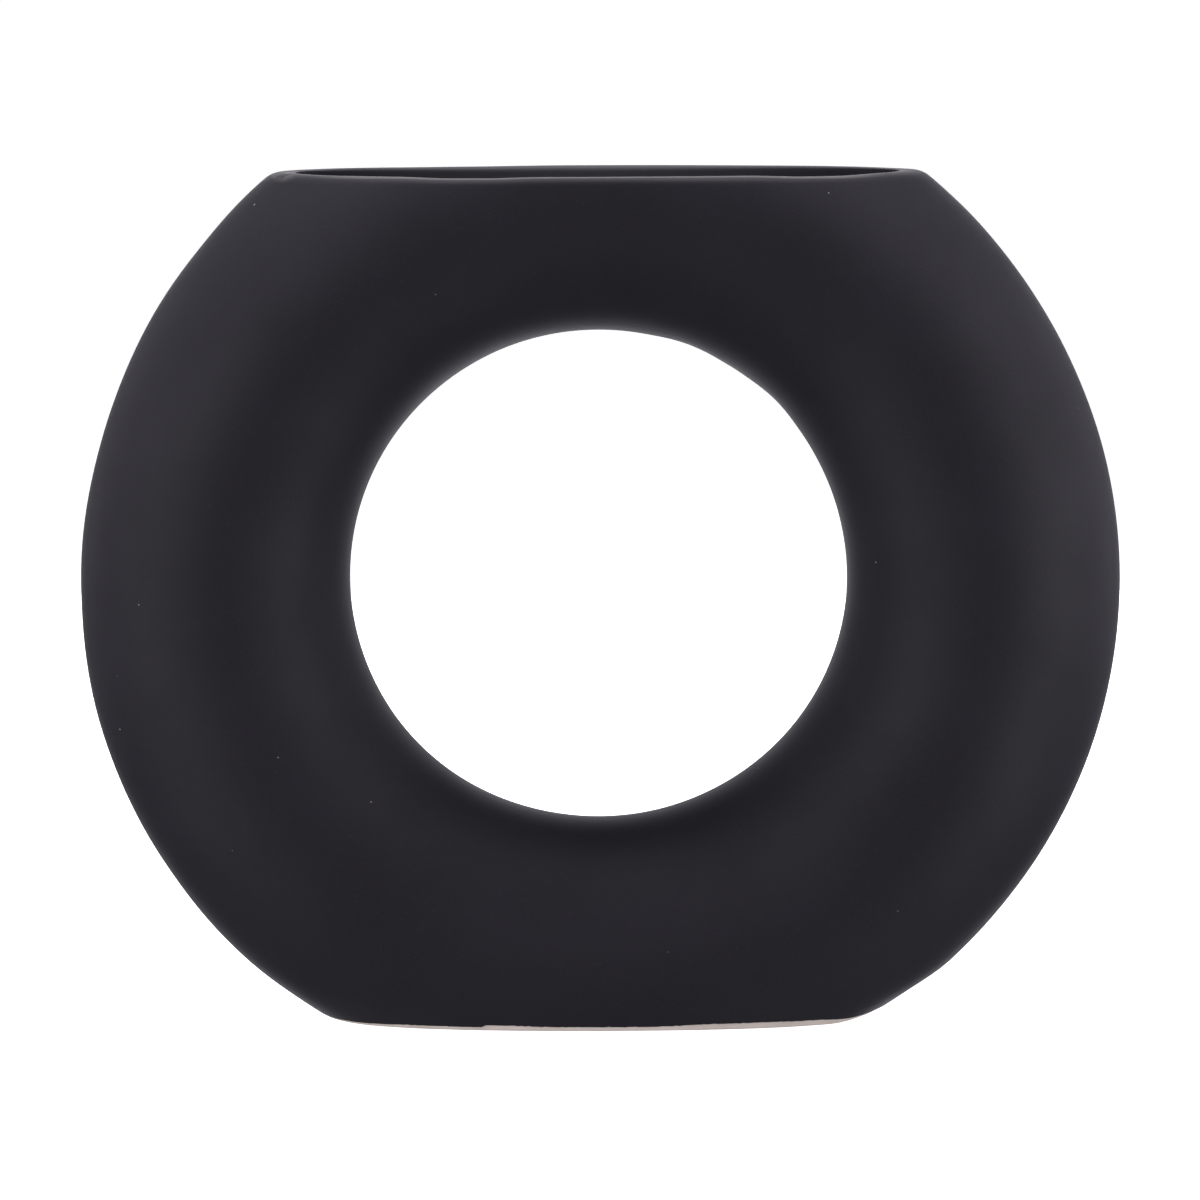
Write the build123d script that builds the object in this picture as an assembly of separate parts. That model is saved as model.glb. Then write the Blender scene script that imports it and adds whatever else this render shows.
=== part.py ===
from build123d import *
from math import sqrt
import os

# Donut vase: a hollow ring of cast clay that stands on edge.
# A flat cut across the top opens its mouth, and a flat cut across the bottom makes its foot.
# The clay is one casting. A black coat lies on its outside and a second coat lines its inside.
# Millimetres. X runs across the ring, Y from front to back along the ring's axis, Z up.
# The origin is the middle of the foot's underside.

# Finished outside sizes, measured over the coats.
# The mouth and the foot are as long as the flat cuts across the ring.
ring_width = 305.0
ring_depth = 80.0
hole_width = 144.8
hole_rise = 1.3
mouth_length = 189.0
foot_length = 163.0

# The narrowest flat between the ring's outer and inner rounding, at the top of the ring
crest_flat = 1.0

# The casting
clay_wall = 4.2
floor_thickness = 6.5
floor_corner_radius = 7.0
lip_radius = 1.7
foot_edge_radius = 1.0
foot_rim_width = 9.0
foot_recess_depth = 2.0

# The coats
coat_thickness = 0.4
bare_foot_height = 1.6
lip_overlap = 8.0

# How far cutting blocks reach past what they cut
overrun = 10.0

# Radii and heights that follow. The ring's outer rounding turns about the ring's own axis.
# The rounding into the hole turns about the hole's axis, which lies a little higher.
ring_radius = ring_width / 2
hole_radius = hole_width / 2
ring_axis_height = sqrt(ring_radius**2 - (foot_length / 2) ** 2)
hole_axis_height = ring_axis_height + hole_rise
vase_height = ring_axis_height + sqrt(ring_radius**2 - (mouth_length / 2) ** 2)
crest_middle = (ring_radius + hole_radius) / 2
crest_width = hole_rise + crest_flat
outer_crest_radius = crest_middle + crest_width / 2
inner_crest_radius = crest_middle - crest_width / 2


def rounding(crest_radius, reach, half_depth):
    """Half of the tube: a half ellipse on the circle of the crest, turned about the Y axis.

    A positive reach bulges outwards to the ring's edge, a negative one inwards to the hole.
    """
    half_turn = 180 if reach > 0 else -180
    edge = EllipticalCenterArc((crest_radius, 0), abs(reach), half_depth, start_angle=-90, arc_size=half_turn)
    section = make_face([edge, Line(edge @ 0, edge @ 1)])
    return revolve(section, Axis.Y)


def crest_disc(radius, half_depth):
    """A round plate on the ring's axis, as thick as the ring is deep."""
    return extrude(Plane.XZ * Circle(radius), half_depth, both=True)


def ring_form(inset):
    """The whole ring as a solid, its surface inset by so much from the finished one."""
    half_depth = ring_depth / 2 - inset
    outer_reach = ring_radius - inset - outer_crest_radius
    inner_reach = hole_radius + inset - inner_crest_radius
    at_ring_axis = Pos(0, 0, ring_axis_height)
    at_hole_axis = Pos(0, 0, hole_axis_height)
    outer_side = at_ring_axis * rounding(outer_crest_radius, outer_reach, half_depth)
    hole_side = at_hole_axis * rounding(inner_crest_radius, inner_reach, half_depth)
    crest = at_ring_axis * crest_disc(outer_crest_radius, half_depth)
    crest -= at_hole_axis * crest_disc(inner_crest_radius, half_depth)
    return outer_side + crest + hole_side


def between(low, high):
    """A block that holds everything from one height to another."""
    width = ring_width + 2 * overrun
    depth = ring_depth + 2 * overrun
    return Pos(0, 0, low) * Box(width, depth, high - low, align=(Align.CENTER, Align.CENTER, Align.MIN))


def edges_at(solid, height):
    """The edges that lie in the level plane at this height."""
    return solid.edges().filter_by_position(Axis.Z, height, height)


def vessel(coat):
    """The hollow vase under a coat of this thickness, inside and outside, and none under the foot."""
    top = vase_height - coat_thickness + coat
    floor = floor_thickness + coat
    outside = ring_form(coat_thickness - coat) & between(0, top)
    outside = fillet(edges_at(outside, 0), foot_edge_radius)
    cavity = ring_form(coat_thickness + clay_wall + coat) & between(floor, vase_height + overrun)
    cavity = fillet(edges_at(cavity, floor), floor_corner_radius - coat)
    body = outside - cavity
    return fillet(edges_at(body, top), lip_radius + coat)


# The casting: even walls, rounded lip, and a shallow recess that leaves a rim to stand on
bare_vase = vessel(0)
clay_body = bare_vase - (ring_form(foot_rim_width) & between(-overrun, foot_recess_depth))

# The coats: what a coated vase has over a bare one, down to the strip that is wiped clean.
# The outer coat laps over the lip and a little way into the mouth, where the lining starts.
coated_vase = vessel(coat_thickness) & between(bare_foot_height, vase_height + overrun)
lined_space = ring_form(coat_thickness + clay_wall / 2) & between(0, vase_height - lip_overlap)
outer_glaze = coated_vase - lined_space - bare_vase
inner_glaze = (coated_vase & lined_space) - bare_vase

pieces = {
    "clay_body": clay_body,
    "outer_glaze": outer_glaze,
    "inner_glaze": inner_glaze,
}

os.makedirs("parts", exist_ok=True)
for name, piece in pieces.items():
    export_step(piece, f"parts/{name}.step")
    print(name, len(piece.solids()), "solid", round(piece.volume), "mm3")
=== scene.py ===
# %% [markdown]
# # A donut vase in matte black glaze
# The vase is one hollow ring of cast clay that stands on edge. A flat cut across the top opens
# its mouth, and a flat cut across the bottom makes its foot. Two coats of glaze cover the clay:
# one outside, over the lip and a little way into the mouth, and one that lines the inside.
# The CAD model fixes every size, so the lesson starts by loading it as a frame and measuring it.

# %% The frame
from math import cos, pi, radians, sin, sqrt

import bmesh
import bpy
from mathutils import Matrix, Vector


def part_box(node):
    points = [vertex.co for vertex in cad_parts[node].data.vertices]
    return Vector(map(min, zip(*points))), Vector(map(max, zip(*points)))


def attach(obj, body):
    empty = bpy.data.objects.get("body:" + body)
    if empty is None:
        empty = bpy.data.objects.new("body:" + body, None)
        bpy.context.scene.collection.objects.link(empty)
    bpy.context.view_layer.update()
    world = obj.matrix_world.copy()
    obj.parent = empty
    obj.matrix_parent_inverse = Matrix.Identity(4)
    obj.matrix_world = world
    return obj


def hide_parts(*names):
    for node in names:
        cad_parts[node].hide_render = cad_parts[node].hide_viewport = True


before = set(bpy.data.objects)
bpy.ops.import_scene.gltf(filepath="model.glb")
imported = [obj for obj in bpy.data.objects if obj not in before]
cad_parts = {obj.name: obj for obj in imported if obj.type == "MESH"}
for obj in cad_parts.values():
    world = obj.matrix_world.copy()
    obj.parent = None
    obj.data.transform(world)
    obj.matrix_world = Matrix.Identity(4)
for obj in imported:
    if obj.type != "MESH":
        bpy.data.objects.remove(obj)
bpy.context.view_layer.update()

coat_low, coat_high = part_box("outer_glaze")
lining_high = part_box("inner_glaze")[1]

# %% [markdown]
# ## Sizes that the form needs
# Most sizes are read off the frame, so that the mesh stays where the CAD is. The hole through the
# ring sits a little high and is slightly oval, because the clay sags before it is fired.

# %% Sizes in metres
ring_radius = min(coat_high.x, -coat_low.x)
half_depth = coat_high.y
vase_height = coat_high.z
lining_radius = lining_high.x
floor_height = 0.0069
coat_thickness = 0.0004
lip_overlap = coat_high.z - lining_high.z

hole_radius = 0.0724
hole_rise = 0.0016
hole_shift = -0.0005
hole_stretch = (1.0025, 1, 0.988)
foot_half_length = 0.0815
ring_axis = sqrt(ring_radius**2 - foot_half_length**2)
mouth_half_length = sqrt(ring_radius**2 - (vase_height - ring_axis) ** 2)
wall = ring_radius - (lining_radius - coat_thickness)
print("ring axis at", round(1000 * ring_axis, 2), "mm, glazed wall", round(1000 * wall, 2), "mm")

# %% [markdown]
# ## Helpers for working by hand in code
# Blender's operators act on whatever is selected. These helpers enter edit mode on one piece,
# pick vertices by their place, and keep a note of a selection in a vertex group.

# %% Helpers
sharp_angle = radians(25)


def edit(piece):
    """Select this piece alone, open it in edit mode and leave none of its vertices selected."""
    if bpy.context.object and bpy.context.object.mode == "EDIT":
        bpy.ops.object.mode_set(mode="OBJECT")
    bpy.ops.object.select_all(action="DESELECT")
    piece.select_set(True)
    bpy.context.view_layer.objects.active = piece
    bpy.ops.object.mode_set(mode="EDIT")
    bpy.ops.mesh.select_mode(type="VERT")
    bpy.ops.mesh.select_all(action="DESELECT")


def done():
    """Leave edit mode."""
    bpy.ops.object.mode_set(mode="OBJECT")


def pick(test):
    """Select the vertices of the edited piece that pass a test, and nothing else."""
    bpy.ops.mesh.select_all(action="DESELECT")
    mesh = bpy.context.edit_object.data
    shape = bmesh.from_edit_mesh(mesh)
    for vertex in shape.verts:
        if test(vertex):
            vertex.select_set(True)
    shape.select_flush_mode()
    bmesh.update_edit_mesh(mesh)


def pick_sharp(low, high):
    """Select the sharp edges between two heights, and nothing else."""
    bpy.ops.mesh.select_mode(type="EDGE")
    bpy.ops.mesh.select_all(action="DESELECT")
    mesh = bpy.context.edit_object.data
    shape = bmesh.from_edit_mesh(mesh)
    for edge in shape.edges:
        level = all(low <= vertex.co.z <= high for vertex in edge.verts)
        if level and edge.is_manifold and edge.calc_face_angle() > sharp_angle:
            edge.select_set(True)
    bmesh.update_edit_mesh(mesh)


def rim_at(height, slack=0.0001):
    """A test for vertices on an open edge at this height."""
    return lambda vertex: vertex.is_boundary and abs(vertex.co.z - height) < slack


def remember(piece, group):
    """Put the selected vertices, and no others, in a vertex group of this name."""
    if group not in piece.vertex_groups:
        piece.vertex_groups.new(name=group)
    bpy.ops.object.vertex_group_set_active(group=group)
    bpy.ops.object.vertex_group_remove_from(use_all_verts=True)
    bpy.ops.object.vertex_group_assign()


def recall(group):
    """Select the vertices of a group, and nothing else."""
    bpy.ops.mesh.select_all(action="DESELECT")
    bpy.ops.object.vertex_group_set_active(group=group)
    bpy.ops.object.vertex_group_select()


# %% [markdown]
# Three more helpers do the shaping. Proportional editing moves some vertices and lets the move fade
# out around them, as a thumb does on soft clay. Modifiers are applied at once, so that each step
# works on plain vertices.

# %% Pushing and modifiers
def push(test, move, reach):
    """Move the vertices that pass a test, and less and less those around them, out to a reach."""
    pick(test)
    bpy.ops.transform.translate(
        value=move,
        use_proportional_edit=True,
        proportional_edit_falloff="SMOOTH",
        proportional_size=reach,
    )


def near(place, distance):
    """A test for vertices close to a place."""
    return lambda vertex: (vertex.co - place).length < distance


def finish_with(piece, kind, **settings):
    """Add a modifier, set it up and apply it."""
    bpy.ops.object.select_all(action="DESELECT")
    piece.select_set(True)
    bpy.context.view_layer.objects.active = piece
    bpy.ops.object.modifier_add(type=kind)
    modifier = piece.modifiers[-1]
    for name, value in settings.items():
        setattr(modifier, name, value)
    bpy.ops.object.modifier_apply(modifier=modifier.name)


# %% [markdown]
# ## The ring
# A cast ring is close to a torus, so it starts as Blender's torus, turned to stand on edge. The
# hole of the real ring sits about 1.5 mm above the ring's own middle. Proportional editing lifts
# the loop of vertices around the hole and lets the lift fade out towards the outer edge.
# The same function makes the outside, the inside and a finer guide for each, which the rows that
# are added later lean on.

# %% A standing ring
segments_round = 256
hole_loop_slack = 0.0002


def standing_ring(name, inset, segments_tube):
    """A ring whose surface lies so far inside the vase's finished outside."""
    tube = (ring_radius - hole_radius) / 2 - inset
    bpy.ops.object.select_all(action="DESELECT")
    bpy.ops.mesh.primitive_torus_add(
        major_radius=(ring_radius + hole_radius) / 2,
        minor_radius=tube,
        major_segments=segments_round,
        minor_segments=segments_tube,
        location=(0, 0, ring_axis),
        rotation=(pi / 2, 0, 0),
    )
    ring = bpy.context.object
    ring.name = name
    bpy.ops.object.transform_apply(location=True, rotation=True, scale=True)
    edit(ring)
    bpy.ops.mesh.select_all(action="SELECT")
    bpy.ops.transform.resize(value=(1, (half_depth - inset) / tube, 1))
    lift_the_hole(hole_radius + inset)
    done()
    return ring


def lift_the_hole(radius):
    """Raise the loop around the hole and make it slightly oval, fading out over the tube."""
    reach = ring_radius - hole_radius
    edge = radius + hole_loop_slack
    pick(lambda vertex: vertex.co.x**2 + (vertex.co.z - ring_axis) ** 2 < edge**2)
    fade = dict(use_proportional_edit=True, proportional_edit_falloff="SMOOTH")
    bpy.ops.transform.translate(value=(hole_shift, 0, hole_rise), proportional_size=reach, **fade)
    bpy.ops.transform.resize(
        value=hole_stretch,
        center_override=(hole_shift, 0, ring_axis + hole_rise),
        proportional_size=reach / 2,
        **fade,
    )


outside = standing_ring("glazed_outside", 0, 96)
inside = standing_ring("glazed_inside", wall, 80)
outside_guide = standing_ring("outside_guide", 0, 192)
inside_guide = standing_ring("inside_guide", wall, 160)
print("rings:", len(outside.data.polygons), "and", len(inside.data.polygons), "faces")

# %% [markdown]
# ## Flat cuts at the top and the bottom
# The maker slices the ring for the mouth and the foot. Bisect does the same, but it leaves an
# edge with uneven steps, because the grid of the torus runs across the cut. So each cut is made a
# few millimetres short, and the rest is grown row by row with even faces. Every new row is
# scaled to fit and then drawn onto the finer guide ring, so the surface runs on without a kink.

# %% Cutting and growing rows
shortest_step = 0.0013
settling_rounds = 3


def cut(piece, height, keep_below):
    """Slice the piece level at this height, drop one side and even out the open edge."""
    edit(piece)
    bpy.ops.mesh.select_all(action="SELECT")
    bpy.ops.mesh.bisect(
        plane_co=(0, 0, height),
        plane_no=(0, 0, 1),
        clear_outer=keep_below,
        clear_inner=not keep_below,
    )
    pick(rim_at(height))
    bpy.ops.mesh.remove_doubles(threshold=shortest_step)
    done()


def outline_at(height, inset):
    """Half length and half depth of the ring's level section at this height."""
    rise = abs(height - ring_axis)
    crest = (ring_radius + hole_radius) / 2
    half_length = sqrt((ring_radius - inset) ** 2 - rise**2)
    slope = (rise - crest) / ((ring_radius - hole_radius) / 2 - inset)
    return half_length, (half_depth - inset) * sqrt(1 - slope**2)


def settle(piece, group, guide, height):
    """Draw a row of vertices onto the guide ring while it stays level at its height."""
    for _ in range(settling_rounds):
        done()
        finish_with(piece, "SHRINKWRAP", target=guide, vertex_group=group)
        bpy.ops.object.mode_set(mode="EDIT")
        recall(group)
        bpy.ops.transform.resize(value=(1, 1, 0), center_override=(0, 0, height))


def grow_row(piece, guide, start, height, inset):
    """Extrude the selected open edge along the guide ring. Its start is a height and an inset."""
    old_height, old_inset = start
    old_length, old_depth = outline_at(old_height, old_inset)
    new_length, new_depth = outline_at(height, inset)
    bpy.ops.mesh.extrude_edges_move(TRANSFORM_OT_translate={"value": (0, 0, height - old_height)})
    ratio = (new_length / old_length, new_depth / old_depth, 1)
    bpy.ops.transform.resize(value=ratio, center_override=(0, 0, height))
    remember(piece, "row")
    settle(piece, "row", guide, height)


def grow_rows(piece, guide, heights, inset):
    """Grow rows from the open edge at the first height through all the others."""
    edit(piece)
    pick(rim_at(heights[0]))
    for start, height in zip(heights, heights[1:]):
        grow_row(piece, guide, (start, inset), height, inset)
    done()


# %% [markdown]
# The rows at the lip reach down as far as the outer coat laps into the mouth, so that the same
# heights serve both sides of the wall. Those at the foot stand closer together, because the edge
# of the glaze will run between them.

# %% Clean rows at the lip and the foot
lip_rows = (0, 0.003, 0.0055, lip_overlap)
lip_heights = [vase_height - drop for drop in reversed(lip_rows)]
foot_heights = [0.0046, 0.003, 0.0016, 0.0008, 0]
cut(outside, lip_heights[0], keep_below=True)
cut(outside, foot_heights[0], keep_below=False)
grow_rows(outside, outside_guide, lip_heights, 0)
grow_rows(outside, outside_guide, foot_heights, 0)
print("outside with clean rows:", len(outside.data.polygons), "faces")

# %% [markdown]
# ## The lip
# The lip is the sawn and sponged end of the wall. The top row is extruded inwards to the inside of
# the wall and then down as far as the outer coat laps into the mouth. A bevel along both sharp
# edges rounds it. One bevel width gives a tight round at the front, where the wall is upright,
# and a wide soft one at the two ends, where the wall leans in, as on the real vase.

# %% Lip
row_step = 0.0025
lip_bevel = 0.0021
lip_bevel_steps = 6
inner_heights = [vase_height - drop for drop in lip_rows]

edit(outside)
pick(rim_at(vase_height))
grow_row(outside, inside_guide, (vase_height, 0), vase_height, wall)
for start, height in zip(inner_heights, inner_heights[1:]):
    grow_row(outside, inside_guide, (start, wall), height, wall)
pick_sharp(vase_height - row_step, vase_height + row_step)
bpy.ops.mesh.bevel(offset=lip_bevel, segments=lip_bevel_steps, affect="EDGES", clamp_overlap=False)
done()
print("outside with lip:", len(outside.data.polygons), "faces")

# %% [markdown]
# ## The lining
# The inside of the ring is a second, smaller torus with its faces turned to the hollow. It is cut
# where the outer coat ends in the mouth, and it gets a floor with a rounded corner, as slip
# leaves when it is poured out of the mould.

# %% Lining and floor
floor_bevel = 0.0055
floor_bevel_steps = 6
floor_row = 0.0075
floor_heights = [floor_height + floor_row, floor_height]

cut(inside, inner_heights[-1] - row_step, keep_below=True)
cut(inside, floor_heights[0], keep_below=False)
grow_rows(inside, inside_guide, floor_heights, wall)
edit(inside)
pick(rim_at(floor_height))
bpy.ops.mesh.edge_face_add()
pick_sharp(floor_height - row_step, floor_height + row_step)
bpy.ops.mesh.bevel(offset=floor_bevel, segments=floor_bevel_steps, affect="EDGES", clamp_overlap=False)
bpy.ops.mesh.select_all(action="SELECT")
bpy.ops.mesh.normals_make_consistent(inside=True)
done()
print("lining:", len(inside.data.polygons), "faces")

# %% [markdown]
# ## One skin for the whole vase
# Outside and lining are joined into one skin, so that every dent made by hand later moves both.
# Each keeps a material slot of its own, and the slots tell the faces apart when the skin is split
# into the real pieces. A bridge closes the narrow gap where the two coats meet in the mouth. The
# rows that will be wiped clean of glaze at the foot are noted while they are still level.

# %% Joining
black_glaze = bpy.data.materials.new("black_glaze")
lining_glaze = bpy.data.materials.new("lining_glaze")
bare_clay = bpy.data.materials.new("bare_clay")
outside.data.materials.append(black_glaze)
inside.data.materials.append(lining_glaze)

bpy.ops.object.select_all(action="DESELECT")
inside.select_set(True)
outside.select_set(True)
bpy.context.view_layer.objects.active = outside
bpy.ops.object.join()
skin = outside
skin.name = "skin"
edit(skin)
pick(lambda vertex: vertex.is_boundary and vertex.co.z > ring_axis)
bpy.ops.mesh.bridge_edge_loops()
skin.active_material_index = 1
bpy.ops.object.material_slot_assign()
bpy.ops.mesh.select_all(action="SELECT")
bpy.ops.mesh.normals_make_consistent(inside=False)
glaze_row = foot_heights[2]
pick(lambda vertex: vertex.co.z < (glaze_row + foot_heights[3]) / 2)
remember(skin, "wiped")
done()
for guide in (inside_guide, outside_guide):
    bpy.data.objects.remove(guide)
print("skin:", len(skin.data.polygons), "faces")

# %% [markdown]
# ## The mark of the hand
# Cast rings are sponged and trimmed while they are soft, so no line on them is quite true. A soft
# Displace with a clouds texture makes the whole surface waver by a fraction of a millimetre.

# %% Wavering walls
waver = bpy.data.textures.new("waver", "CLOUDS")
waver.noise_scale = 0.07
waver.noise_depth = 1
finish_with(skin, "DISPLACE", texture=waver, texture_coords="LOCAL", strength=0.0004, mid_level=1)
print("top after wavering:", round(1000 * max(v.co.z for v in skin.data.vertices), 2), "mm")

# %% [markdown]
# Some places are off by more, most by up to about a millimetre. Proportional editing pushes the
# vertices around such a place and lets the push fade out: the left end of the mouth stands out,
# the outline swells low on the left and is flatter above, and the hole has a straight stretch at
# the upper right, between two fuller ones. The front of the lip dips twice where a thumb rubbed it.
# The ends of the foot are sponged up from the table, the right one by almost two millimetres.
# At last the lip is trued on a flat board, so it is raised until its highest places and both its
# ends reach the level of that board.

# %% Ways of pushing
board = vase_height - 0.00002
grip = 0.006
fine_grip = 0.003
lip_depth = 0.001
ring_middle = Vector((0, 0, ring_axis))


def push_outline(angle, radius, distance, reach, hold=grip):
    """Push the ring's or the hole's outline away from the middle, at an angle from the right."""
    outwards = Vector((cos(radians(angle)), 0, sin(radians(angle))))
    push(near(ring_middle + radius * outwards, hold), distance * outwards, reach)


def on_lip(across, side):
    """A place on the lip, in front for side -1 and at the back for side 1."""
    crest = (ring_radius + hole_radius) / 2
    off_crest = sqrt(across**2 + (vase_height - ring_axis) ** 2) - crest
    depth = half_depth * sqrt(1 - (off_crest / (ring_radius - crest)) ** 2)
    return Vector((across, side * (depth - wall / 2), vase_height))


def raise_lip(place, hold, reach):
    """Raise the lip around a place until its highest vertex there is level with the board."""
    shape = bmesh.from_edit_mesh(bpy.context.edit_object.data)
    around = near(place, hold + reach)
    room = board - max(vertex.co.z for vertex in shape.verts if around(vertex))
    on_top = near(place, hold)
    push(lambda vertex: on_top(vertex) and vertex.co.z > board - lip_depth, (0, 0, room), reach)


# %% [markdown]
# Angles are counted in degrees from the right-hand side, over the top. Distances and reaches are
# in metres, and a push outwards is positive.

# %% Pushes
foot_ends = {-foot_half_length: 0.0004, foot_half_length: 0.0018}
foot_end_reach = 0.022

edit(skin)
push(near(Vector((-mouth_half_length, 0, vase_height)), grip), (-0.0012, 0, 0), 0.03)
push_outline(162, ring_radius, -0.0005, 0.04)
push_outline(191, ring_radius, 0.0003, 0.025)
push_outline(206, ring_radius, 0.0006, 0.06)
push_outline(225, ring_radius, 0.0005, 0.03)
push_outline(28, ring_radius, -0.0003, 0.04)
push_outline(48, ring_radius, 0.0002, 0.02)
push_outline(20, hole_radius, -0.00033, 0.03)
push_outline(46, hole_radius, 0.0003, 0.010, fine_grip)
push_outline(69, hole_radius, 0.0004, 0.012, fine_grip)
push_outline(222, hole_radius, 0.0005, 0.06)
push(near(on_lip(-0.037, -1), grip), (0, 0, -0.0004), 0.016)
push(near(on_lip(0.0635, -1), grip), (0, 0, -0.0004), 0.016)
push(near(on_lip(-0.045, 1), grip), (0, 0, -0.0002), 0.03)
for across, lift in foot_ends.items():
    push(near(Vector((across, 0, 0)), grip), (0, 0, lift), foot_end_reach)
raise_lip(Vector((0, 0, vase_height)), 2 * mouth_half_length, 0.015)
for across in (-mouth_half_length, mouth_half_length):
    raise_lip(Vector((across, 0, vase_height)), 2 * grip, 0.012)
done()
print("top after pushes:", round(1000 * max(v.co.z for v in skin.data.vertices), 2), "mm")

# %% [markdown]
# ## Splitting the skin into pieces
# The casting takes the whole skin, drawn in by the thickness of a coat. The two coats take their
# own faces of it, and Solidify gives them that thickness, inwards to the clay.

# %% Copies of the skin
def copy_of(piece, name):
    """A copy of a piece with a mesh of its own."""
    bpy.ops.object.select_all(action="DESELECT")
    piece.select_set(True)
    bpy.context.view_layer.objects.active = piece
    bpy.ops.object.duplicate()
    copy = bpy.context.object
    copy.name = name
    return copy


def drop_faces(piece, slot_index):
    """Delete the faces of one material slot, and the slot."""
    edit(piece)
    piece.active_material_index = slot_index
    bpy.ops.object.material_slot_select()
    bpy.ops.mesh.delete(type="FACE")
    done()
    piece.active_material_index = slot_index
    bpy.ops.object.material_slot_remove()


casting = copy_of(skin, "clay_casting")
outer_coat = copy_of(skin, "glazed_outside")
inner_coat = copy_of(skin, "glazed_inside")
drop_faces(outer_coat, 1)
drop_faces(inner_coat, 0)
print("coats:", len(outer_coat.data.polygons), "and", len(inner_coat.data.polygons), "faces")

# %% [markdown]
# ## The casting and its foot
# The foot is closed with one face. An inset leaves the rim that the vase stands on, and an
# extrusion lifts the middle clear of the table. Its edges are sponged round, so they are bevelled.

# %% Casting
foot_rim = 0.009
foot_recess = 0.002
foot_bevel = 0.0009
foot_bevel_steps = 4

edit(casting)
bpy.ops.mesh.select_all(action="SELECT")
bpy.ops.transform.shrink_fatten(value=-coat_thickness)
pick(lambda vertex: vertex.is_boundary)
bpy.ops.transform.resize(value=(1, 1, 0), center_override=(0, 0, 0))
bpy.ops.mesh.hide(unselected=True)
for across, lift in foot_ends.items():
    push(near(Vector((across, 0, 0)), grip), (0, 0, lift), foot_end_reach)
bpy.ops.mesh.reveal()
pick(lambda vertex: vertex.is_boundary)
bpy.ops.mesh.edge_face_add()
bpy.ops.mesh.inset(thickness=foot_rim)
bpy.ops.mesh.extrude_region_move(TRANSFORM_OT_translate={"value": (0, 0, foot_recess)})
pick_sharp(-row_step, foot_recess + row_step)
bpy.ops.mesh.bevel(offset=foot_bevel, segments=foot_bevel_steps, affect="EDGES", clamp_overlap=False)
bpy.ops.mesh.select_all(action="SELECT")
bpy.ops.mesh.normals_make_consistent(inside=False)
done()
casting.data.materials.clear()
casting.data.materials.append(bare_clay)
print("casting:", len(casting.data.polygons), "faces")

# %% [markdown]
# ## The wiped edge of the outer coat
# Before firing, the glaze is wiped off the foot with a sponge. The line that it leaves is ragged:
# low on the left, with a sudden step up in front, high on the right, and down to nothing at the
# two ends. Only the open edge of the coat is left visible while its height is changed, so that
# the pushes move nothing else. At last the edge is drawn back onto the skin.
# Its small jitter is random, with a fixed seed, so that it comes out the same each time.

# %% Glaze line
glaze_step = -0.034
glaze_step_drop = 0.0008
foot_tip = 0.004
taper_start = foot_half_length - foot_tip
left_end_drop = 0.0016
right_end_drop = 0.0015
glaze_jitter = 0.00014

edit(outer_coat)
recall("wiped")
bpy.ops.mesh.delete(type="VERT")
pick(lambda vertex: vertex.is_boundary and vertex.co.z < ring_axis)
bpy.ops.mesh.select_mode(type="EDGE")
bpy.ops.mesh.subdivide(number_cuts=2)
bpy.ops.mesh.select_mode(type="VERT")
pick(lambda vertex: vertex.is_boundary and vertex.co.z < ring_axis)
remember(outer_coat, "glaze_line")
bpy.ops.mesh.hide(unselected=True)
push(lambda vertex: 0.045 < vertex.co.x < 0.055, (0, 0, 0.0004), 0.035)
push(lambda vertex: abs(vertex.co.x) < 0.012, (0, 0, -0.0004), 0.02)
pick(lambda vertex: vertex.co.x < glaze_step and vertex.co.y < 0)
bpy.ops.transform.translate(value=(0, 0, -glaze_step_drop))
push(lambda vertex: vertex.co.x < -taper_start, (0, 0, -left_end_drop), 0.03)
push(lambda vertex: vertex.co.x > taper_start, (0, 0, -right_end_drop), 0.02)
pick(lambda vertex: True)
bpy.ops.transform.vertex_random(offset=glaze_jitter, seed=4)
bpy.ops.mesh.reveal()
done()
finish_with(outer_coat, "SHRINKWRAP", target=skin, vertex_group="glaze_line")
bpy.data.objects.remove(skin)
print("outer coat after wiping:", len(outer_coat.data.polygons), "faces")

# %% [markdown]
# ## Thickness
# Each coat is about 0.4 mm thick, and Solidify grows it towards the clay. Smooth shading by angle
# keeps the soft forms smooth and leaves the thin edges of the coats crisp.

# %% Coats with thickness
smooth_angle = radians(40)

for coat in (outer_coat, inner_coat):
    finish_with(coat, "SOLIDIFY", thickness=coat_thickness, offset=-1, use_even_offset=True)
for piece in (casting, outer_coat, inner_coat):
    bpy.ops.object.select_all(action="DESELECT")
    piece.select_set(True)
    bpy.context.view_layer.objects.active = piece
    bpy.ops.object.shade_smooth_by_angle(angle=smooth_angle)
    print(piece.name, len(piece.data.polygons), "faces")

# %% [markdown]
# ## Riding on the frame
# Nothing on a vase moves by itself, so all pieces ride on the one body of the frame. Each piece
# stands for its CAD node, which is hidden. The table also names each node's material slot, which the
# loop does not use.

# %% Pieces and nodes
stand_ins = {
    "clay_body": (casting, "bare_clay"),
    "outer_glaze": (outer_coat, "black_glaze"),
    "inner_glaze": (inner_coat, "lining_glaze"),
}
for cad_node, (piece, slot) in stand_ins.items():
    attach(piece, "root")
    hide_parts(cad_node)
    print(piece.name, "stands for", cad_node)

# %% [markdown]
# ## Building finishes from noise
# No picture is laid on the vase: every finish is worked out from the place on it. The Object
# coordinates are metres here, so a noise scale of 20 gives clouds of about 50 mm, and one of 1500
# gives grain finer than a millimetre. A few helpers keep the node trees short to read.

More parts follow.
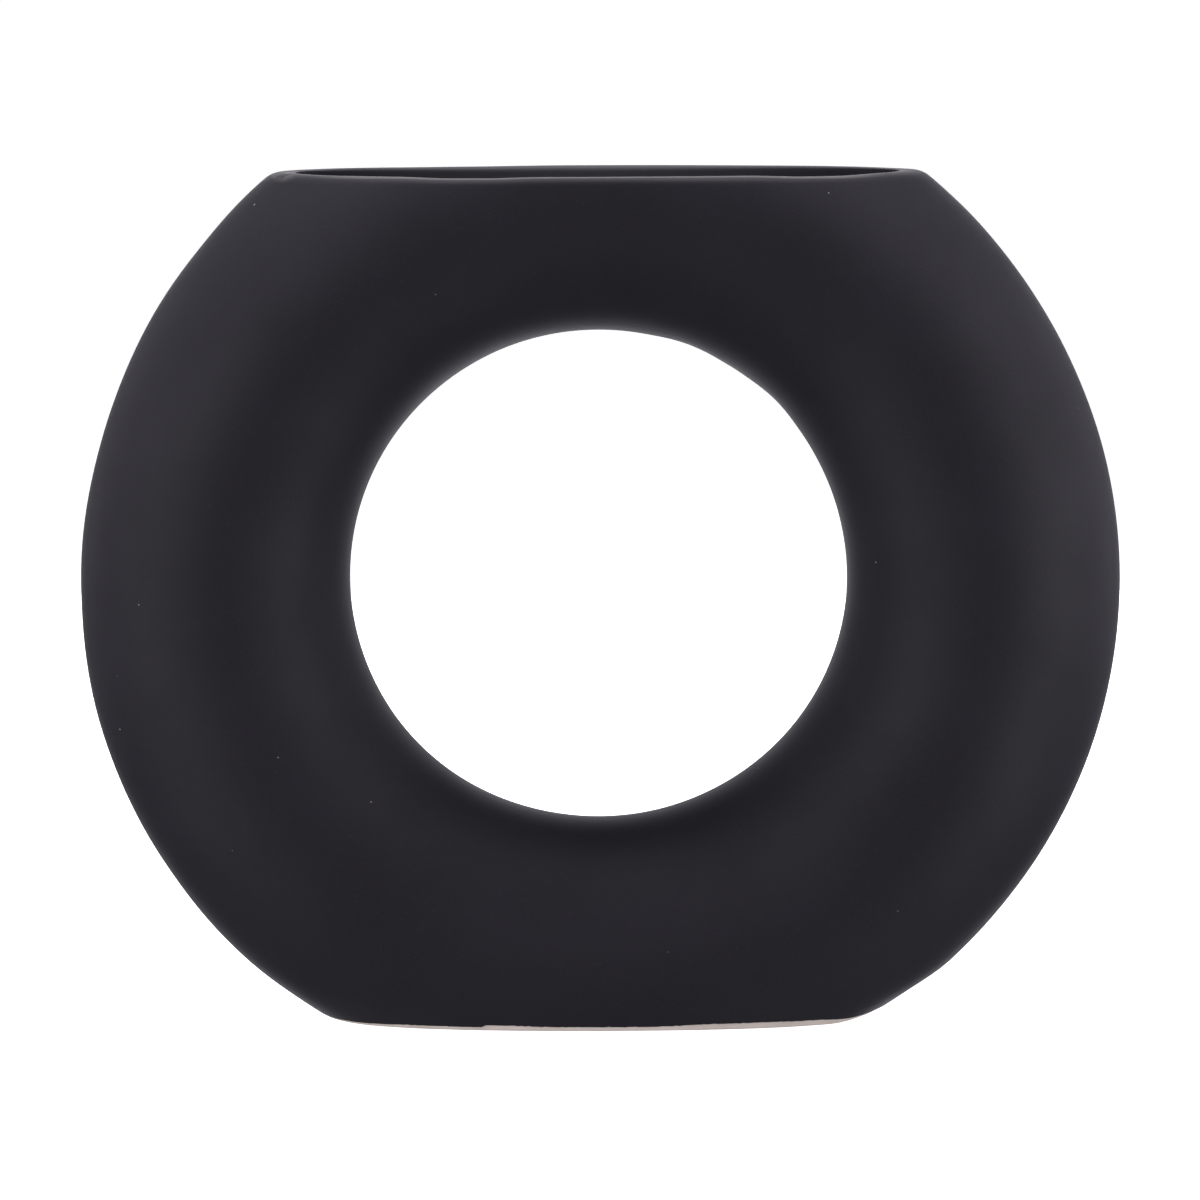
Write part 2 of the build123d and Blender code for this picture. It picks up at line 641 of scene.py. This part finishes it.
# %% Helpers for finishes
def node(material, kind, inputs, **settings):
    """Add a shader node. Sockets among its inputs are linked, and plain values are set."""
    made = material.node_tree.nodes.new(kind)
    for name, value in settings.items():
        setattr(made, name, value)
    for name, value in inputs.items():
        if isinstance(value, bpy.types.NodeSocket):
            material.node_tree.links.new(value, made.inputs[name])
        else:
            made.inputs[name].default_value = value
    return made


def spot_on(material):
    """The place on the vase, measured from the middle of the ring."""
    spot = node(material, "ShaderNodeTexCoord", {}).outputs["Object"]
    centred = node(material, "ShaderNodeMapping", {"Vector": spot, "Location": (0, 0, -ring_axis)})
    return centred.outputs["Vector"]


def noise(material, scale, detail):
    """Cloudy noise from 0 to 1."""
    inputs = {"Vector": spot_on(material), "Scale": scale, "Detail": detail}
    return node(material, "ShaderNodeTexNoise", inputs).outputs["Fac"]


def ramp(material, value, low, high, start=0, end=1):
    """Turn the range from low to high into the range from start to end, and hold it outside."""
    inputs = {"Value": value, "From Min": low, "From Max": high, "To Min": start, "To Max": end}
    return node(material, "ShaderNodeMapRange", inputs).outputs["Result"]


def combine(material, operation, first, second):
    """Two values added, multiplied or compared, or the larger of them."""
    return node(material, "ShaderNodeMath", {0: first, 1: second}, operation=operation).outputs["Value"]


def blend(material, amount, first, second):
    """One colour over another."""
    inputs = {"Fac": amount, "Color1": first, "Color2": second}
    return node(material, "ShaderNodeMixRGB", inputs).outputs["Color"]


def bump(material, height, depth):
    """A fine roughness of the surface, so many metres deep."""
    return node(material, "ShaderNodeBump", {"Height": height, "Distance": depth}).outputs["Normal"]


def finish(material, colour, roughness, normal):
    """Connect a finish to the material's shader."""
    shader = material.node_tree.nodes["Principled BSDF"]
    for name, socket in {"Base Color": colour, "Roughness": roughness, "Normal": normal}.items():
        material.node_tree.links.new(socket, shader.inputs[name])


# %% [markdown]
# ## Matte black glaze
# The glaze is a matte, slightly cool black. It is sprayed on in fine drops and barely flows in the
# kiln, so it stays mottled and slightly rough, like fine orange peel. A paler colour on the crest of
# the lip and, fainter, in a band just below it is a painted highlight, and the same paler colour lies
# in mottled patches at the left end of the mouth. Inside the mouth the glaze is painted lighter, as
# painted light for the light that reaches in there. A few pale specks of dust lie on it. The lining
# is the same glaze, poured instead of sprayed, so it comes out a little smoother, and it is painted
# lighter all over in the same way.
# The first cell works out where the dust lies, where the coat laps into the mouth, and where the
# painted highlight and the pale patches lie on the lip.

# %% Dust, lap, painted highlight and pale patches
dust_cells = 150
dust_radius = 0.00025
lip_band = 0.0024
patch_length = 0.007
patch_edge = 0.003
crest_fade = (0.025, 0.01)


def dust_on(material):
    """1 on a few small dots and 0 between them. Each cell has one dot, and most dots are left out."""
    inputs = {"Vector": spot_on(material), "Scale": dust_cells}
    cells = node(material, "ShaderNodeTexVoronoi", inputs)
    dots = combine(material, "LESS_THAN", cells.outputs["Distance"], dust_radius * dust_cells)
    chance = node(material, "ShaderNodeSeparateColor", {"Color": cells.outputs["Color"]})
    return combine(material, "MULTIPLY", dots, ramp(material, chance.outputs["Red"], 0.86, 0.98))


def facing_out(material):
    """Positive where the surface faces away from the vase's upright axis, negative towards it."""
    facing = node(material, "ShaderNodeTexCoord", {}).outputs["Normal"]
    level_only = {0: spot_on(material), 1: (1, 1, 0)}
    off_axis = node(material, "ShaderNodeVectorMath", level_only, operation="MULTIPLY").outputs["Vector"]
    along = node(material, "ShaderNodeVectorMath", {0: off_axis, 1: facing}, operation="DOT_PRODUCT")
    return along.outputs["Value"]


def lap_on(material):
    """1 where the outer coat laps into the mouth and 0 on the outside."""
    place = node(material, "ShaderNodeSeparateXYZ", {"Vector": spot_on(material)})
    lap_end = vase_height - ring_axis - 2 * lip_overlap
    near_top = combine(material, "GREATER_THAN", place.outputs["Z"], lap_end)
    return combine(material, "MULTIPLY", near_top, ramp(material, facing_out(material), 0, -0.004))


def lip_highlight_and_patches_on(material):
    """Where the lip is painted paler: a painted highlight on its crest, a faint painted highlight in the
    band below, and pale patches at the mouth's left end.
    """
    place = node(material, "ShaderNodeSeparateXYZ", {"Vector": spot_on(material)})
    facing = node(material, "ShaderNodeTexCoord", {}).outputs["Normal"]
    facing = node(material, "ShaderNodeSeparateXYZ", {"Vector": facing})
    top = vase_height - ring_axis
    high = ramp(material, place.outputs["Z"], top - lip_band, top - lip_band / 3)
    level = ramp(material, facing.outputs["Z"], 0.8, 0.93)
    across = node(material, "ShaderNodeMath", {0: place.outputs["X"]}, operation="ABSOLUTE")
    fade_start, fade_end = (mouth_half_length - distance for distance in crest_fade)
    fading = ramp(material, across.outputs["Value"], fade_start, fade_end, 1, 0.25)
    # The crest is a painted highlight, kept to the outward half of the lip and fading towards the
    # mouth's ends.
    crest = combine(material, "MULTIPLY", level, ramp(material, facing_out(material), -0.004, -0.001))
    crest = combine(material, "MULTIPLY", crest, fading)
    # Pale mottled patches at the mouth's left end take the same paler colour.
    patch_start = patch_length - mouth_half_length
    left_end = ramp(material, place.outputs["X"], patch_start, patch_start - patch_edge)
    patches = combine(material, "MULTIPLY", left_end, ramp(material, noise(material, 180, 2), 0.35, 0.6))
    # The whole band under the top gets at least a tenth of the paler colour, as a faint painted
    # highlight.
    pale_amount = combine(material, "MAXIMUM", combine(material, "MAXIMUM", crest, patches), 0.1)
    return combine(material, "MULTIPLY", high, pale_amount)


# %% [markdown]
# The second cell lays the colours over each other, from the mottled black up to the dust. A low
# specular level and a high roughness make the glaze mirror the studio only as a soft sheen.

# %% Glaze
glaze_deep = (0.0082, 0.0077, 0.0112, 1)
glaze_pale = (0.0117, 0.0112, 0.0155, 1)
glaze_grain = (0.022, 0.021, 0.025, 1)
# Painted light: the next colour makes the inside of the mouth and the lining lighter, where the lamps
# reach too little.
painted_inside_light = (0.060, 0.059, 0.066, 1)
# Painted highlight: the next colour paints the lip's crest and the band below it, and the pale patches
# at the mouth's left end.
lip_highlight_and_patch_colour = (0.105, 0.104, 0.1, 1)
dust_colour = (0.35, 0.34, 0.33, 1)
glaze_specular = 0.25


def matte_glaze(material, gloss, inside):
    """Mottled black glaze, with painted light that makes it lighter where it lies inside the vase. More
    gloss makes it smoother.
    """
    shader = material.node_tree.nodes["Principled BSDF"]
    shader.inputs["Specular IOR Level"].default_value = glaze_specular
    mottle = noise(material, 22, 5)
    grain = noise(material, 1600, 2)
    colour = blend(material, ramp(material, mottle, 0.3, 0.7), glaze_deep, glaze_pale)
    colour = blend(material, ramp(material, grain, 0.62, 0.75, 0, 0.6), colour, glaze_grain)
    # Painted light inside the mouth and on the lining.
    colour = blend(material, inside, colour, painted_inside_light)
    # Painted highlight on the lip, and the pale patches at its left end.
    colour = blend(material, lip_highlight_and_patches_on(material), colour, lip_highlight_and_patch_colour)
    colour = blend(material, dust_on(material), colour, dust_colour)
    roughness = ramp(material, mottle, 0.25, 0.75, 0.70 - gloss, 0.62 - gloss)
    peel = combine(material, "ADD", noise(material, 420, 3), grain)
    finish(material, colour, roughness, bump(material, peel, 0.00003))


for glaze in (black_glaze, lining_glaze):
    glaze.use_nodes = True
# The lap in the mouth and, below, the whole lining take the painted light of the inside colour.
matte_glaze(black_glaze, 0, lap_on(black_glaze))
matte_glaze(lining_glaze, 0.05, 1)
print("glaze nodes:", len(black_glaze.node_tree.nodes))

# %% [markdown]
# ## Bare clay
# The foot is left bare, or the glaze would stick to the kiln shelf. Fired without glaze, the clay
# is a pale pinkish grey. It is dry and grainy, a little darker where hands and shelves have rubbed.

# %% Clay
clay_pale = (0.69, 0.62, 0.54, 1)
clay_rubbed = (0.56, 0.49, 0.42, 1)
bare_clay.use_nodes = True
rubbing = noise(bare_clay, 70, 4)
clay_grain = noise(bare_clay, 1300, 3)
clay_colour = blend(bare_clay, ramp(bare_clay, rubbing, 0.4, 0.75), clay_pale, clay_rubbed)
clay_colour = blend(bare_clay, ramp(bare_clay, clay_grain, 0.6, 0.8, 0, 0.5), clay_colour, clay_rubbed)
clay_roughness = ramp(bare_clay, clay_grain, 0.3, 0.7, 0.78, 0.92)
finish(bare_clay, clay_colour, clay_roughness, bump(bare_clay, clay_grain, 0.00005))
print("clay nodes:", len(bare_clay.node_tree.nodes))

# %% [markdown]
# ## Camera
# A catalogue picture is taken with a long lens from a few steps away, so that the ring stays round
# and its sides stay upright. The camera stands a little higher than the vase and looks down by
# about five degrees, which opens the mouth to a thin dark slit.

# %% Camera
camera_place = (-0.0002, -2.7963, 0.3764)
look_down = 5.184
look_aside = 0.206

camera_data = bpy.data.cameras.new("camera")
camera = bpy.data.objects.new("camera", camera_data)
bpy.context.scene.collection.objects.link(camera)
camera.location = camera_place
camera.rotation_mode = "ZXY"
camera.rotation_euler = (radians(90 - look_down), 0, radians(-look_aside))
camera_data.sensor_width = 36
camera_data.lens = 287.24
camera_data.clip_end = 100
bpy.context.scene.camera = camera
print("camera:", round(-camera.location.y, 2), "m in front, lens", camera_data.lens, "mm")

# %% [markdown]
# ## Floor
# The vase stands on a plain table that is lit so brightly that it comes out white, without a
# shadow. The floor glows by itself and gives no light to the vase, because the panels that are
# set up next stand for the light that such a table throws back.

# %% Floor
floor_size = 60

bpy.ops.mesh.primitive_plane_add(size=floor_size, location=(0, 0, 0))
floor = bpy.context.object
floor.name = "floor"
pale_floor = bpy.data.materials.new("pale_floor")
pale_floor.use_nodes = True
paint = pale_floor.node_tree.nodes["Principled BSDF"]
paint.inputs["Base Color"].default_value = (0.85, 0.85, 0.85, 1)
paint.inputs["Roughness"].default_value = 0.9
paint.inputs["Emission Color"].default_value = (1, 1, 1, 1)
paint.inputs["Emission Strength"].default_value = 1
floor.data.materials.append(pale_floor)
floor.visible_glossy = False
floor.visible_diffuse = False
floor.visible_shadow = False
print("floor:", tuple(round(side) for side in floor.dimensions), "m")

# %% [markdown]
# ## Lights
# A black form is drawn by what it mirrors. Tall softboxes and cards on both sides give the pale
# bands along its arms, and cards behind it give the thin bright rim around the hole. A softbox
# overhead lights the lip. Panels below stand for the bright table. All of them are large and soft,
# and slightly cool, as daylight is.

# %% Lights
vase_middle = Vector((0, 0, vase_height / 2))
light_distance = 1.4
cool_white = (1, 0.97, 1.06)


def softbox(name, bearing, rise, width, tall, power):
    """A soft light aimed at the vase, at a bearing from the camera's side and a rise, in degrees."""
    panel = bpy.data.lights.new(name, "AREA")
    panel.shape = "RECTANGLE"
    panel.size = width
    panel.size_y = tall
    panel.energy = power
    panel.color = cool_white
    light = bpy.data.objects.new(name, panel)
    bpy.context.scene.collection.objects.link(light)
    turn = radians(bearing)
    lift = radians(rise)
    towards_light = Vector((cos(lift) * sin(turn), -cos(lift) * cos(turn), sin(lift)))
    light.location = vase_middle + light_distance * towards_light
    light.rotation_euler = towards_light.to_track_quat("Z", "Y").to_euler()
    light.visible_camera = False


softbox("left_softbox", -45, 8, 0.2, 0.8, 9.4)
softbox("right_softbox", 60, 15, 0.4, 1.2, 7.8)
softbox("left_card", -80, 10, 0.4, 1.2, 3.2)
softbox("left_high_card", -100, 28, 0.5, 1.6, 4.1)
softbox("left_rim", -132, 10, 0.5, 1.2, 2.2)
softbox("right_card", 100, 15, 0.5, 1.2, 4.6)
softbox("right_high_card", 80, 20, 0.5, 1.1, 2.8)
softbox("right_rim", 132, 10, 0.5, 1.2, 2.4)
softbox("top_softbox", 0, 90, 0.5, 0.5, 20)
softbox("back_card", 180, -3, 1.4, 1.5, 14)
softbox("back_high_card", 180, 30, 1.4, 0.5, 1.5)
softbox("table_glow", 0, -90, 3, 3, 10.5)
softbox("table_glow_behind", 180, -30, 1.4, 0.5, 3.6)
softbox("table_glow_left", -60, -20, 1, 0.5, 3.9)
softbox("table_glow_right", 60, -20, 1, 0.5, 6.3)
print("lights:", [light.name for light in bpy.data.lights])

room_light = (0.02, 0.02, 0.02, 1)
world = bpy.data.worlds.new("world")
bpy.context.scene.world = world
world.use_nodes = True
world.node_tree.nodes["Background"].inputs["Color"].default_value = room_light
bpy.context.scene.view_settings.view_transform = "Standard"
